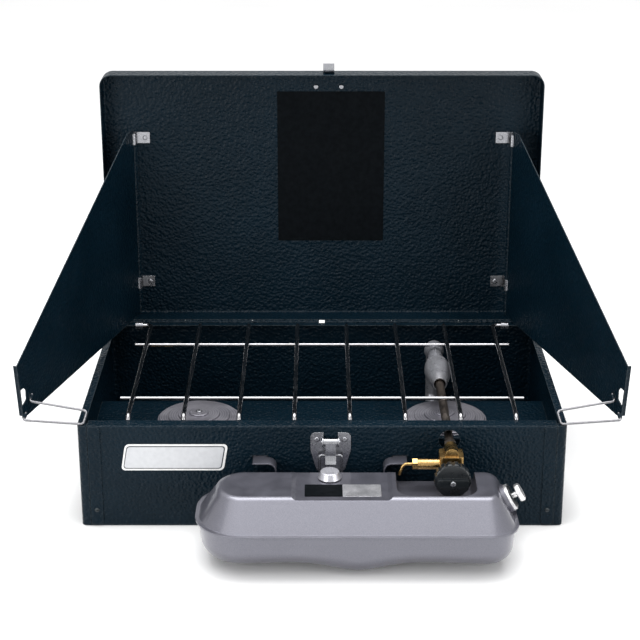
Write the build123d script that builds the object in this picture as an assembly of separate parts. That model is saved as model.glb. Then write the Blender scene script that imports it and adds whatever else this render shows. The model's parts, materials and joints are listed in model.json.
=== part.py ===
from build123d import *
from math import cos, radians, sin, tan
import os

# Two-burner suitcase camping stove, millimetres, +X right, +Y back, +Z up.
# The origin is the centre of the case's underside.

# Sheet metal, wire and clearances
sheet = 0.9
running_gap = 0.1
rest_gap = 0.3
panel_gap = 0.4
cut_over = 1
cut_through = 20
rivet_head_radius = 2.6
rivet_head_height = 1.3
rivet_shank_radius = 1.4
rivet_hole_length = 8
rivet_crown = 0.8

# Case
case_width = 460
case_depth = 270
case_height = 104
case_corner_radius = 5
rim_width = 7
corner_flange = 9
ledge_width = 15
ledge_lip = 9
ledge_bend = 1.6
grate_rest = 8
strip_width = 12
strip_thickness = 1.1
strip_corner_radius = 3.6
strip_edge = 0.66
strip_screw_height = 17
strip_screw_radius = 2.2

# Lid and its hinges
lid_depth = 24
lid_corner_radius = 12
lid_edge_radius = 3
hinge_x = 112
hinge_length = 218
hinge_knuckle_radius = 2.2
hinge_pin_radius = 1.1
hinge_leaf = 14
hinge_parting = 0.15
hinge_leaf_gap = 1

# Hasp on the lid's free edge
hasp_x = 7
hasp_width = 11.5
hasp_foot_width = 38
hasp_foot_height = 17
hasp_foot_drop = 9
hasp_sheet = 1.2
hasp_lip_height = 11
hasp_lip_setback = 7
hasp_lip_lean = 2
hasp_bend = 2.5
hasp_corner_radius = 5
hasp_rivet_spread = 13.3

# Wind baffles
baffle_hinge_inset = 32
baffle_angle = 16.2
baffle_length = 302
baffle_tip_lean = 6
baffle_bottom = 109.2
baffle_top = 315
baffle_tip_top = 165
baffle_top_flat = 18
baffle_top_radius = 5.4
baffle_rod_short = 12
baffle_rod_lift = 2
baffle_flange = 3
baffle_curl_radius = 2.2
baffle_rod_radius = 1.2
baffle_window_bottom = 122
baffle_window_top = 139
baffle_window_width = 9
baffle_window_rim = 1.6
baffle_window_corner = 4
left_standoff = 6.5
right_standoff = 13
clip_heights = (143.5, 304.5)
clip_height = 12
clip_foot = 16
clip_rivet_inset = 5
clip_side_gap = 0.4
clip_sheet = 1

# Wire stays of the baffles
stay_wire_radius = 1.1
stay_bend = 3
stay_pin_bend = 1.8
stay_tip_past = 3
stay_tip_rise = 0.4
stay_hook_back = 12.4
stay_hook_rise = 13.4
stay_pin = 8
stay_eye_start = 2.5
stay_eye_length = 4
stay_eye_wall = 0.8
stay_rest_inset = 6
stay_front_inset = 1.5
stay_spread = 14

# Grate
bar_count = 8
bar_spacing = 52.6
bar_radius = 2.2
bar_bend = 5
bar_height = 105
cross_rod_radius = 1.8
cross_rod_length = 394
cross_rod_back = 57
cross_rod_front = 72
weld_sink = 0.15
grate_pivot_back = 10
grate_ear = 8
grate_ear_start = 4
grate_clip_sheet = 1.2

# Burners and their support
burner_x = 125
burner_y = -7
support_top = 54
support_width = 92
support_flange = 12
support_foot = 24
support_foot_inset = 6
bowl_rim_radius = 42
bowl_radius = 35
bowl_floor = 34
bowl_floor_radius = 26
ring_radii = (40, 31.5, 21)
ring_heights = (2, 1.8, 1.6)
ring_edge = 0.6
burner_cap_radius = 10
burner_cap_height = 2
burner_cap_edge = 0.9
burner_screw_radius = 3.2
burner_shank_radius = 2
burner_screw_depth = 14
burner_post_wall = 1.5
screw_slot = 0.7

# Mixing chamber and feed tubes
generator_x = 119.5
generator_z = 89
chamber_mouth = 0
chamber_shoulder = 26
chamber_shoulder_radius = 12.5
chamber_mouth_radius = 7
chamber_radius = 13.5
chamber_neck_radius = 8
chamber_wall = 1
chamber_bulb = 38
chamber_neck = 80
chamber_flare = 92
chamber_flare_radius = 10.5
chamber_end = 102
chamber_throat = 44
chamber_seam = 1
chamber_seam_start = 14
chamber_seam_end = 96
chamber_overlap = 4
feed_radius = 7
feed_bend = 14
feed_back_gap = 22
feed_sink = 1
feed_z = 20
crossover_y = 48
crossover_radius = 5.5
aux_valve_inset = 55
aux_inlet_offset = 8
aux_feed_bend = 13
aux_valve_size = 22
aux_valve_height = 20
aux_valve_edge = 3
aux_boss_radius = 8
aux_boss_length = 8
aux_stem_radius = 2.5
aux_stem_gap = 0.01
aux_stem_bend = 4
aux_stem_depth = 4
aux_handle_length = 24
aux_handle_proud = 8

# Draw latch
latch_x = 8
latch_width = 38
latch_foot_width = 26
latch_top = 98
latch_bottom = 58
latch_shoulder = 18
latch_corner_radius = 5
latch_notch_gap = 0.6
latch_pin_past = 0.8
latch_sheet = 1.2
latch_pin_height = 90
latch_pin_proud = 5.4
latch_pin_radius = 1.5
latch_barrel_radius = 3.6
latch_barrel_width = 13
latch_lever_width = 10
latch_lever_end = 70
latch_lever_tip = 3
latch_lever_kick = 2
latch_lever_bend = 4
latch_ear_radius = 4.6
latch_rivet_spread = 13
latch_rivet_height = 91
loop_radius = 1
loop_pivot_height = 77
loop_spread = 10.5
loop_hub_wall = 0.8
loop_blade_gap = 0.6
loop_parting = 0.6
loop_bend = 2
loop_end = 58

# Fuel tank
tank_left = -113
tank_right = 175
tank_standoff = 6
tank_depth = 100
tank_seam = 44
tank_flange = 3
tank_flange_thickness = 1.6
tank_top = 70
tank_inset = 20
tank_front_inset = 26
tank_left_inset = 18
tank_left_radius = 42
tank_right_radius = 26
tank_shoulder = 8
tank_floor = 10
tank_draft = 5
tank_floor_round = 18
tank_keel_x = 32
tank_keel_drop = 7.5
tank_keel_half = 75
tank_keel_flank = 35
tank_keel_flat = 7
tank_keel_share = 0.25
recess_left = -24
recess_right = 60
recess_depth = 2
recess_slope = 4
well_left = 68
well_right = 141
well_reach = 71
well_overrun = 11
well_floor = 53.5
well_radius = 16
well_floor_radius = 5
strap_x = (-58.5, 73)
strap_width = 13
strap_sheet = 1.2
strap_height = 73
strap_reach = 7
strap_foot = 48
strap_bend = 7
strap_leg = 15
strap_standoff = 2
strap_depth = 14
slot_clearance = 0.8

# Valve, generator and control knob
valve_standoff = 25
valve_width = 22
valve_depth = 20
valve_bottom = 62
valve_top = 88
valve_edge = 2.5
valve_boss_inset = 2
valve_neck = 4
valve_neck_wall = 3.5
valve_boss_radius = 6.5
bung_radius = 8
bung_shank_radius = 6
bung_shank = 8
pickup_radius = 2.5
pickup_length = 38
generator_radius = 4.2
generator_nut_radius = 6
generator_nut_length = 13
generator_nut_hex = 7.8
generator_nut_neck = 5.1
generator_nut_lip = 0.6
generator_jet_reach = 4
generator_jet_length = 5
generator_jet_radius = 3.4
generator_jet_tip = 1.5
panel_hole_radius = 10
panel_hole_rise = 1
stem_z = 71.5
stem_radius = 2.5
knob_radius = 17
knob_skirt_radius = 14.5
knob_depth = 8
knob_grip_height = 5
knob_grip_width = 7
knob_scallops = 16
knob_scallop_radius = 1.7
knob_back = 8
knob_edge = 2
knob_scallop_out = 0.6
knob_grip_edge = 2.5
stem_tail = 4
stem_bore = 2
screw_tip_gap = 0.4
knob_screw_radius = 2.6
gland_z = 77
gland_radius = 5
gland_length = 20
packing_nut_radius = 5.6
packing_nut_length = 5
lever_radius = 1.35
lever_out = 8
lever_drop = 11
lever_splay = 4
lever_bend = 5
lever_tail = 1

# Pump
pump_forward = 52
pump_angle = 30
pump_height = 57.2
pump_collar_radius = 13.5
pump_collar_length = 4
pump_bore_radius = 7
pump_wall = 0.9
pump_hole_depth = 12
pump_length = 58
pump_cap_thickness = 2.5
pump_clip_thickness = 1.5
pump_cap_inset = 1
pump_clip_inset = 3
pump_rod_radius = 2.5
pump_end_wall = 2
pump_cup_start = 4
pump_cup_floor = 3
pump_cup_wall = 2
pump_cup_length = 8
pump_knob_radius = 8.5
pump_knob_thickness = 5
pump_knob_gap = 4
pump_knob_edge = 1.4

# Filler
filler_x = 7
filler_forward = 30
filler_neck_radius = 9
filler_neck_height = 3.5
filler_wall = 1
filler_hole_depth = 10
filler_cap_radius = 11
filler_cap_top_radius = 8.5
filler_cap_lift = 1
filler_cap_roof = 2.5
filler_cap_edge = 1
gasket_thickness = 1
gasket_bore_radius = 5

# Derived places
half_width = case_width / 2
front_y = -case_depth / 2
back_y = case_depth / 2
panel_half = half_width - corner_flange - panel_gap
lid_axis_y = back_y + hinge_knuckle_radius
lid_axis_z = case_height + hinge_parting
lid_bottom = lid_axis_z + hinge_knuckle_radius
lid_top = lid_bottom + case_depth
lid_rim_y = lid_axis_y
lid_back_y = lid_rim_y + lid_depth
lid_face_y = lid_back_y - sheet
baffle_hinge_x = half_width - baffle_hinge_inset
baffle_heel = baffle_length - baffle_tip_lean
stay_tip_along = baffle_heel + stay_tip_past
stay_tip_height = baffle_bottom + stay_tip_rise
stay_hook_along = baffle_heel - stay_hook_back
stay_hook_height = baffle_bottom + stay_hook_rise
cross_rod_places = (back_y - cross_rod_back, front_y + cross_rod_front)
feed_drop_y = back_y - feed_back_gap
aux_valve_x = half_width - aux_valve_inset
aux_inlet_x = -burner_x - aux_inlet_offset
tank_back = front_y - tank_standoff
tank_front = tank_back - tank_depth
well_front = tank_back - well_reach
well_back = tank_back + well_overrun
valve_y = front_y - valve_standoff
valve_front = valve_y - valve_depth / 2
generator_start = valve_y + valve_depth / 2
knob_rear = valve_front - knob_back
knob_front = knob_rear - knob_depth
knob_face = knob_front - knob_grip_height
recess_floor = tank_top - recess_depth
pump_y = tank_back - pump_forward
filler_y = tank_back - filler_forward


def block(x0, x1, y0, y1, z0, z1):
    """A box between two corners."""
    return Pos((x0 + x1) / 2, (y0 + y1) / 2, (z0 + z1) / 2) * Box(x1 - x0, y1 - y0, z1 - z0)


def along(start, end):
    """A plane at start whose normal points at end."""
    return Plane(origin=start, z_dir=Vector(*end) - Vector(*start))


def rod(start, end, radius):
    """A round bar between two points."""
    length = (Vector(*end) - Vector(*start)).length
    return along(start, end) * Cylinder(radius, length, align=(Align.CENTER, Align.CENTER, Align.MIN))


def pipe(start, end, radius, bore):
    """A round tube between two points."""
    return rod(start, end, radius) - rod(start, end, bore)


def hexagon(start, end, radius):
    """A hexagonal bar between two points, radius across the corners."""
    length = (Vector(*end) - Vector(*start)).length
    return extrude(along(start, end) * RegularPolygon(radius, 6), length)


def wire(points, radius, bend):
    """A bent round wire through points, with one bend radius or one for each corner."""
    path = FilletPolyline(*points, radius=bend)
    return sweep(Plane(origin=path @ 0, z_dir=path % 0) * Circle(radius), path=path)


def folded(points, bend, thickness, x0, x1):
    """A sheet strip folded along a line in the YZ plane, from x0 to x1."""
    middle = Plane(origin=(x0, 0, 0), x_dir=(0, 1, 0), z_dir=(1, 0, 0))
    line = FilletPolyline(*points, radius=bend)
    return extrude(middle * trace(line, thickness), x1 - x0)


def rivet(face, direction, length, head=rivet_head_radius):
    """A domed rivet: the head stands on face, the shank goes the other way by length."""
    axis = Plane(origin=face, z_dir=direction)
    dome = axis * Cylinder(head, rivet_head_height, align=(Align.CENTER, Align.CENTER, Align.MIN))
    crown = dome.edges().sort_by(Axis(face, direction))[-1]
    dome = fillet(crown, rivet_head_height * rivet_crown)
    shank = axis * Cylinder(rivet_shank_radius, length, align=(Align.CENTER, Align.CENTER, Align.MAX))
    return dome + shank


def rivet_hole(face, direction):
    """The clearance hole for such a rivet, through the sheets at face."""
    axis = Plane(origin=face, z_dir=direction)
    return axis * Cylinder(rivet_shank_radius + running_gap, rivet_hole_length)


def pair(solid):
    """A solid and its mirror image on the other side of the stove."""
    return [solid, mirror(solid, about=Plane.YZ)]


def save(name, *solids):
    """Write one node, with one or more separate solids."""
    shape = solids[0] if len(solids) == 1 else Compound(label=name, children=list(solids))
    export_step(shape, f"parts/{name}.step")


# Case: folded tray with a rim flange, open in front for the panel

def make_case_shell():
    outer = extrude(RectangleRounded(case_width, case_depth, case_corner_radius), case_height)
    inner_plan = RectangleRounded(case_width - 2 * sheet, case_depth - 2 * sheet,
                                  case_corner_radius - sheet)
    shell = outer - Pos(0, 0, sheet) * extrude(inner_plan, case_height)
    rim_plan = RectangleRounded(case_width, case_depth, case_corner_radius)
    rim_plan -= Rectangle(case_width - 2 * rim_width, case_depth - 2 * rim_width)
    rim = Pos(0, 0, case_height - sheet) * extrude(rim_plan, sheet)
    shell += rim
    mouth = panel_half + panel_gap
    shell -= block(-mouth, mouth, front_y - cut_over, front_y + ledge_width, sheet,
                   case_height + cut_over)
    stem_hole = rod((-half_width - cut_over, crossover_y, feed_z),
                    (-half_width + sheet + cut_over, crossover_y, feed_z), aux_stem_radius + rest_gap)
    return shell - stem_hole


def make_front_panel():
    middle = sheet / 2
    top = case_height - middle
    line = [(front_y + middle, sheet), (front_y + middle, top), (front_y + ledge_width - middle, top),
            (front_y + ledge_width - middle, case_height - ledge_lip),
            (front_y + ledge_width + grate_rest, case_height - ledge_lip)]
    panel = folded(line, ledge_bend, sheet, -panel_half, panel_half)
    inside = front_y + sheet + cut_over
    panel -= rod((generator_x, front_y - cut_over, generator_z + panel_hole_rise),
                 (generator_x, inside, generator_z + panel_hole_rise), panel_hole_radius)
    half_slot = strap_width / 2 + slot_clearance
    for x in strap_x:
        panel -= block(x - half_slot, x + half_slot, front_y - cut_over, inside,
                       strap_height - strap_sheet - slot_clearance, strap_height + slot_clearance)
    for point in strip_screw_points():
        panel -= rivet_hole(point, (0, -1, 0))
    for point in latch_rivet_points():
        panel -= rivet_hole(point, (0, -1, 0))
    return panel


def strip_screw_points():
    x = panel_half - strip_width / 2
    return [(side * x, front_y - strip_thickness, strip_screw_height) for side in (-1, 1)]


def make_corner_strip():
    plan = Pos(panel_half - strip_width / 2, (sheet + case_height) / 2) * RectangleRounded(
        strip_width, case_height - sheet - 2 * panel_gap, strip_corner_radius)
    strip = extrude(Plane(origin=(0, front_y, 0), x_dir=(1, 0, 0), z_dir=(0, -1, 0)) * plan,
                    strip_thickness)
    strip = fillet(strip.faces().sort_by(Axis.Y)[0].edges(), strip_edge)
    return strip - rivet_hole(strip_screw_points()[1], (0, -1, 0))


def make_strip_screw(point):
    screw = rivet(point, (0, -1, 0), strip_thickness + sheet, strip_screw_radius)
    slot = block(point[0] - strip_screw_radius, point[0] + strip_screw_radius,
                 point[1] - rivet_head_height, point[1] - rivet_head_height / 2,
                 point[2] - screw_slot / 2, point[2] + screw_slot / 2)
    return screw - slot


# Burners: support channel, bowls, stacked rings, caps and screws

def make_burner_support():
    inside = half_width - sheet
    half = support_width / 2
    line = [(burner_y - half + sheet / 2, support_top - support_flange),
            (burner_y - half + sheet / 2, support_top - sheet / 2),
            (burner_y + half - sheet / 2, support_top - sheet / 2),
            (burner_y + half - sheet / 2, support_top - support_flange)]
    channel = folded(line, ledge_bend, sheet, -inside, inside)
    for side in (-1, 1):
        low, high = sorted((side * inside, side * (inside - sheet)))
        channel += block(low, high, burner_y - half + support_foot_inset,
                         burner_y + half - support_foot_inset,
                         support_top - support_foot, support_top - sheet)
        channel -= Pos(side * burner_x, burner_y, support_top) * Cylinder(bowl_radius + rest_gap,
                                                                          cut_through)
    return channel


def make_bowl(x, inlet_x):
    depth = support_top - bowl_floor
    cup = Pos(0, 0, bowl_floor) * Cone(bowl_floor_radius, bowl_radius, depth,
                                      align=(Align.CENTER, Align.CENTER, Align.MIN))
    hollow = Pos(0, 0, bowl_floor + sheet) * Cone(bowl_floor_radius - sheet, bowl_radius - sheet, depth,
                                                 align=(Align.CENTER, Align.CENTER, Align.MIN))
    flange = Pos(0, 0, support_top + sheet / 2) * Cylinder(bowl_rim_radius, sheet)
    bowl = cup + flange - hollow
    post = Pos(0, 0, bowl_floor) * Cylinder(burner_screw_radius + burner_post_wall,
                                            support_top + sheet - bowl_floor,
                                            align=(Align.CENTER, Align.CENTER, Align.MIN))
    bowl += post
    bowl -= rod((0, 0, support_top - burner_screw_depth - cut_over), (0, 0, support_top + cut_through),
                burner_shank_radius + running_gap)
    bowl = Pos(x, burner_y, 0) * bowl
    return bowl - rod((inlet_x, burner_y, bowl_floor - cut_over),
                      (inlet_x, burner_y, bowl_floor + sheet + cut_over),
                      feed_radius)


def make_rings(x):
    rings = []
    level = support_top + sheet
    for radius, height in zip(ring_radii, ring_heights):
        ring = Pos(x, burner_y, level + height / 2) * Cylinder(radius, height)
        ring = fillet(ring.edges().sort_by(Axis.Z)[-1], ring_edge)
        rings.append(ring - Pos(x, burner_y, level) * Cylinder(burner_shank_radius + running_gap,
                                                                     cut_through))
        level += height
    return rings


def burner_stack_top():
    return support_top + sheet + sum(ring_heights)


def make_burner_cap(x):
    base = burner_stack_top()
    cap = Pos(x, burner_y, base + burner_cap_height / 2) * Cylinder(burner_cap_radius, burner_cap_height)
    cap = fillet(cap.edges().sort_by(Axis.Z)[-1], burner_cap_edge)
    return cap - Pos(x, burner_y, base) * Cylinder(burner_shank_radius + running_gap, cut_through)


def make_burner_screw(x):
    head = (x, burner_y, burner_stack_top() + burner_cap_height)
    shank = rod((x, burner_y, support_top - burner_screw_depth), head, burner_shank_radius)
    dome = rivet(head, (0, 0, 1), burner_cap_height, burner_screw_radius)
    slot = block(x - burner_screw_radius, x + burner_screw_radius, burner_y - screw_slot / 2,
                 burner_y + screw_slot / 2, head[2] + rivet_head_height / 2,
                 head[2] + rivet_head_height + cut_over)
    return shank + dome - slot


# Mixing chamber over the main burner, its feed tube and the crossover to the left burner

def make_manifold():
    outline = [(chamber_mouth, chamber_mouth_radius), (chamber_shoulder, chamber_shoulder_radius),
               (chamber_bulb, chamber_radius), (chamber_neck, chamber_neck_radius),
               (chamber_flare, chamber_flare_radius), (chamber_end, feed_radius)]
    skin = Spline(*outline)
    edge = [skin @ 1, (chamber_end, 0), (chamber_mouth, 0), skin @ 0]
    profile = make_face(Curve() + skin + Polyline(*edge))
    chamber = Pos(generator_x, 0, generator_z) * Rot(0, 0, 90) * revolve(profile, Axis.X)
    seam = block(generator_x - chamber_seam / 2, generator_x + chamber_seam / 2, chamber_seam_start,
                 chamber_seam_end, generator_z, generator_z + chamber_neck_radius + chamber_seam)
    tube = wire([(generator_x, chamber_end - chamber_overlap, generator_z),
                 (generator_x, feed_drop_y, generator_z),
                 (generator_x, feed_drop_y, feed_z), (generator_x, burner_y, feed_z),
                 (generator_x, burner_y, bowl_floor + feed_sink)], feed_radius, feed_bend)
    throat = rod((generator_x, chamber_mouth - cut_over, generator_z),
                 (generator_x, chamber_throat, generator_z), chamber_mouth_radius - chamber_wall)
    return chamber + seam + tube - throat


def make_crossover(manifold_axis_x):
    start = (manifold_axis_x, crossover_y, feed_z)
    end = (-aux_valve_x + aux_valve_size / 2, crossover_y, feed_z)
    tube = rod(start, end, crossover_radius)
    saddle = rod((manifold_axis_x, crossover_y - cut_through, feed_z),
                 (manifold_axis_x, crossover_y + cut_through, feed_z), feed_radius)
    return tube - saddle


def make_aux_valve_body():
    half = aux_valve_size / 2
    body = block(-aux_valve_x - half, -aux_valve_x + half, crossover_y - half, crossover_y + half,
                 feed_z - aux_valve_height / 2, feed_z + aux_valve_height / 2)
    body = fillet(body.edges().filter_by(Axis.Z), aux_valve_edge)
    end = -aux_valve_x - half - aux_boss_length
    boss = hexagon((-aux_valve_x - half, crossover_y, feed_z), (end, crossover_y, feed_z), aux_boss_radius)
    bore = rod((end - cut_over, crossover_y, feed_z), (-aux_valve_x, crossover_y, feed_z),
               aux_stem_radius + running_gap)
    return body + boss - bore


def make_aux_feed():
    start_y = crossover_y - aux_valve_size / 2
    return wire([(-aux_valve_x, start_y, feed_z), (-aux_valve_x, burner_y, feed_z),
                 (aux_inlet_x, burner_y, feed_z), (aux_inlet_x, burner_y,
                                                   bowl_floor + feed_sink)], feed_radius,
                aux_feed_bend)


def make_aux_stem():
    tip = -half_width - aux_handle_proud
    return wire([(-aux_valve_x - aux_stem_depth, crossover_y, feed_z), (tip, crossover_y, feed_z),
                 (tip, crossover_y - aux_handle_length,
                  feed_z)], aux_stem_radius - aux_stem_gap, aux_stem_bend)


# Grate: long bars with turned ends, laid over two cross rods

def grate_axis_y():
    return back_y - grate_pivot_back


def bar_places():
    return [(i - (bar_count - 1) / 2) * bar_spacing for i in range(bar_count)]


def make_bar(x):
    """One bar: its tip turns down onto the panel's rest, and an outer bar's tail turns out as a pivot."""
    tail = grate_axis_y()
    tip_y = front_y + ledge_width + grate_rest / 2 + sheet
    floor = case_height - ledge_lip + sheet / 2 + rest_gap
    points = [(x, tip_y, floor), (x, tip_y, bar_height), (x, tail, bar_height)]
    bends = [bar_bend]
    if abs(x) == max(bar_places()):
        side = 1 if x > 0 else -1
        points.append((x + side * (bar_bend + grate_ear_start + grate_ear), tail, bar_height))
        bends.append(bar_bend)
    return wire(points, bar_radius, bends)


def make_cross_rod(y):
    z = bar_height - bar_radius - cross_rod_radius + weld_sink
    half = cross_rod_length / 2
    cross = rod((-half, y, z), (half, y, z), cross_rod_radius)
    for x in bar_places():
        cross -= rod((x, y - cut_through, bar_height), (x, y + cut_through, bar_height), bar_radius)
    return cross


def make_grate_clip():
    """Sheet ear under the rear rim that carries a turned-out end of the grate."""
    start = bar_places()[-1] + bar_bend + grate_ear_start
    y = grate_axis_y()
    end = start + grate_ear
    ear = rod((start, y, bar_height), (end, y, bar_height), bar_radius + running_gap + grate_clip_sheet)
    under = case_height - sheet
    foot = block(start, end, y - bar_radius, back_y - sheet, under - grate_clip_sheet, under)
    leg = block(start, end, y - bar_radius - grate_clip_sheet, y + bar_radius, under - grate_clip_sheet,
                bar_height)
    clip = ear + foot + leg
    rim_room = block(start - cut_over, end + cut_over, back_y - rim_width - panel_gap, back_y, under,
                     bar_height + cut_through)
    bore = rod((start - cut_over, y, bar_height), (end + cut_over, y, bar_height), bar_radius + running_gap)
    return clip - rim_room - bore


# Draw latch on the front panel

def latch_rivet_points():
    return [(latch_x + side * latch_rivet_spread, front_y - latch_sheet,
             latch_rivet_height) for side in (-1, 1)]


def latch_axis_y():
    return front_y - latch_pin_proud


def make_latch_plate():
    half = latch_width / 2
    foot = latch_foot_width / 2
    y = latch_axis_y()
    shoulder = latch_top - latch_shoulder
    outline = Polyline((-half, latch_top), (half, latch_top), (half, shoulder), (foot, latch_bottom),
                       (-foot, latch_bottom), (-half, shoulder), (-half, latch_top))
    face = fillet(make_face(outline).vertices(), latch_corner_radius)
    throat = latch_barrel_width / 2 + rest_gap
    deep = latch_top - latch_pin_height + latch_barrel_radius + latch_notch_gap
    notch = Pos(0, latch_top) * Rectangle(2 * throat, 2 * deep)
    plane = Plane(origin=(latch_x, front_y, 0), x_dir=(1, 0, 0), z_dir=(0, -1, 0))
    plate = extrude(plane * (face - notch), latch_sheet)
    for side in (-1, 1):
        low, high = sorted((latch_x + side * throat, latch_x + side * (throat + latch_sheet)))
        ear = rod((low, y, latch_pin_height), (high, y, latch_pin_height), latch_ear_radius)
        ear += block(low, high, y, front_y, latch_pin_height - latch_ear_radius,
                     latch_pin_height + latch_ear_radius)
        plate += ear
    plate -= rod((latch_x - half, y, latch_pin_height), (latch_x + half, y, latch_pin_height),
                 latch_pin_radius)
    for point in latch_rivet_points():
        plate -= rivet_hole(point, (0, -1, 0))
    return plate


def make_latch_pin():
    half = latch_barrel_width / 2 + rest_gap + latch_sheet + latch_pin_past
    y = latch_axis_y()
    return rod((latch_x - half, y, latch_pin_height), (latch_x + half, y, latch_pin_height),
               latch_pin_radius)


def make_latch_lever():
    half = latch_barrel_width / 2
    y = latch_axis_y()
    barrel = rod((latch_x - half, y, latch_pin_height), (latch_x + half, y, latch_pin_height),
                 latch_barrel_radius)
    reach = latch_barrel_radius - latch_sheet / 2
    line = [(y - reach, latch_pin_height), (y - reach, loop_pivot_height),
            (y - reach - latch_lever_kick, latch_lever_end + latch_lever_tip),
            (y - reach - 2 * latch_lever_kick, latch_lever_end)]
    blade = folded(line, latch_lever_bend, latch_sheet, latch_x - latch_lever_width / 2,
                   latch_x + latch_lever_width / 2)
    hub = rod((latch_x - latch_lever_width / 2, loop_axis_y(), loop_pivot_height),
              (latch_x + latch_lever_width / 2, loop_axis_y(), loop_pivot_height),
              loop_radius + running_gap + loop_hub_wall)
    lever = barrel + blade + hub
    lever -= rod((latch_x - half, loop_axis_y(), loop_pivot_height),
                 (latch_x + half, loop_axis_y(), loop_pivot_height), loop_radius + running_gap)
    return lever - rod((latch_x - half, y, latch_pin_height), (latch_x + half, y, latch_pin_height),
                       latch_pin_radius + running_gap)


def loop_axis_y():
    return latch_axis_y() - latch_barrel_radius + latch_sheet + loop_radius + loop_blade_gap


def make_latch_loop():
    y = loop_axis_y()
    points = []
    for side, step in ((-1, 1), (1, -1)):
        arm = [(latch_x + side * loop_parting, y, loop_pivot_height),
               (latch_x + side * loop_spread, y, loop_pivot_height),
               (latch_x + side * loop_spread, y, loop_end)]
        points += arm[::step]
    return wire(points, loop_radius, loop_bend)


# Lid, hinges and hasp

def hinge_leaf_pair(x):
    """One butt hinge at x: the case leaf, the lid leaf and the pin."""
    half = hinge_length / 2
    third = hinge_length / 6
    case_knuckles = [(-third, third)]
    lid_knuckles = [(-half, -third - rest_gap), (third + rest_gap, half)]
    case_leaf = block(x - third, x + third, back_y, back_y + sheet, lid_axis_z - hinge_leaf, lid_axis_z)
    lid_leaf = None
    for low, high in case_knuckles:
        case_leaf += rod((x + low, lid_axis_y, lid_axis_z), (x + high, lid_axis_y, lid_axis_z),
                         hinge_knuckle_radius)
    for low, high in lid_knuckles:
        piece = rod((x + low, lid_axis_y, lid_axis_z), (x + high, lid_axis_y, lid_axis_z),
                    hinge_knuckle_radius)
        piece += block(x + low, x + high, lid_axis_y, lid_axis_y + hinge_leaf, lid_bottom - sheet,
                       lid_bottom)
        lid_leaf = piece if lid_leaf is None else lid_leaf + piece
    lid_leaf += block(x - half, x + half, lid_axis_y + hinge_knuckle_radius + hinge_leaf_gap,
                      lid_axis_y + hinge_leaf,
                      lid_bottom - sheet, lid_bottom)
    pin = rod((x - half, lid_axis_y, lid_axis_z), (x + half, lid_axis_y, lid_axis_z), hinge_pin_radius)
    bore = rod((x - half - cut_over, lid_axis_y, lid_axis_z), (x + half + cut_over, lid_axis_y, lid_axis_z),
               hinge_pin_radius + running_gap)
    return case_leaf - pin, lid_leaf - bore, pin


def make_lid_shell():
    plane = Plane(origin=(0, lid_rim_y, (lid_bottom + lid_top) / 2), x_dir=(1, 0, 0), z_dir=(0, 1, 0))
    outer = extrude(plane * RectangleRounded(case_width, case_depth, lid_corner_radius), lid_depth)
    outer = fillet(outer.faces().sort_by(Axis.Y)[-1].edges(), lid_edge_radius)
    inner_plan = RectangleRounded(case_width - 2 * sheet, case_depth - 2 * sheet, lid_corner_radius - sheet)
    inner = extrude(plane * inner_plan, lid_depth - sheet)
    inner = fillet(inner.faces().sort_by(Axis.Y)[-1].edges(), lid_edge_radius - sheet)
    lid = outer - inner
    for point in clip_rivet_points() + hasp_rivet_points():
        lid -= rivet_hole((point[0], lid_face_y, point[2]), (0, 1, 0))
    return lid


def hasp_rivet_points():
    z = lid_top - hasp_foot_drop - hasp_foot_height / 2
    return [(hasp_x + side * hasp_rivet_spread, lid_face_y, z) for side in (-1, 1)]


def make_hasp():
    half = hasp_width / 2
    middle = hasp_sheet / 2
    top = lid_top + middle
    line = [(lid_back_y + middle, lid_top - hasp_foot_drop - hasp_bend), (lid_back_y + middle, top),
            (lid_rim_y + hasp_lip_setback, top),
            (lid_rim_y + hasp_lip_setback - hasp_lip_lean, lid_top + hasp_lip_height)]
    strip = folded(line, hasp_bend, hasp_sheet, hasp_x - half, hasp_x + half)
    plan = RectangleRounded(hasp_foot_width, hasp_foot_height, hasp_corner_radius)
    plane = Plane(origin=(hasp_x, lid_back_y, lid_top - hasp_foot_drop - hasp_foot_height / 2),
                  x_dir=(-1, 0, 0), z_dir=(0, 1, 0))
    hasp = strip + extrude(plane * plan, hasp_sheet)
    for point in hasp_rivet_points():
        hasp -= rivet_hole((point[0], lid_back_y, point[2]), (0, 1, 0))
    return hasp


# Wind baffles, their hinge rods, clips and wire stays

def hinge_place(side):
    """Hinge axis of a baffle: x, y, and how far along the plate it lies."""
    y = lid_face_y - (left_standoff if side < 0 else right_standoff)
    shift = 0 if side < 0 else (right_standoff - left_standoff) / cos(radians(baffle_angle))
    x = baffle_hinge_x + shift * sin(radians(baffle_angle))
    return side * x, y, shift


def baffle_plane():
    """The left plate's plane: local X along the plate, local Y towards the stove's middle, local Z up."""
    x, y, shift = hinge_place(-1)
    angle = radians(baffle_angle)
    return Plane(origin=(x, y, 0), x_dir=(-sin(angle), -cos(angle), 0), z_dir=(0, 0, 1))


def plate_point(s, z, inward=0.0):
    """A point on the left plate: s along it, z up, inward off its middle."""
    return tuple(baffle_plane().from_local_coords(Vector(s, inward, z)))


def stay_axis():
    """The line the stay's two pins lie on, in plate coordinates: s, z of the tip and of the hook."""
    return (stay_tip_along, stay_tip_height), (stay_hook_along, stay_hook_height)


def stay_offset():
    return sheet / 2 + rest_gap + stay_wire_radius


def pin_point(start, distance):
    """A point on the stay's axis, distance beyond the tip or the hook."""
    (s0, z0), (s1, z1) = stay_axis()
    length = ((s1 - s0) ** 2 + (z1 - z0) ** 2) ** 0.5
    s, z = start
    return plate_point(s + (s1 - s0) / length * distance, z + (z1 - z0) / length * distance, stay_offset())


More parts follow.
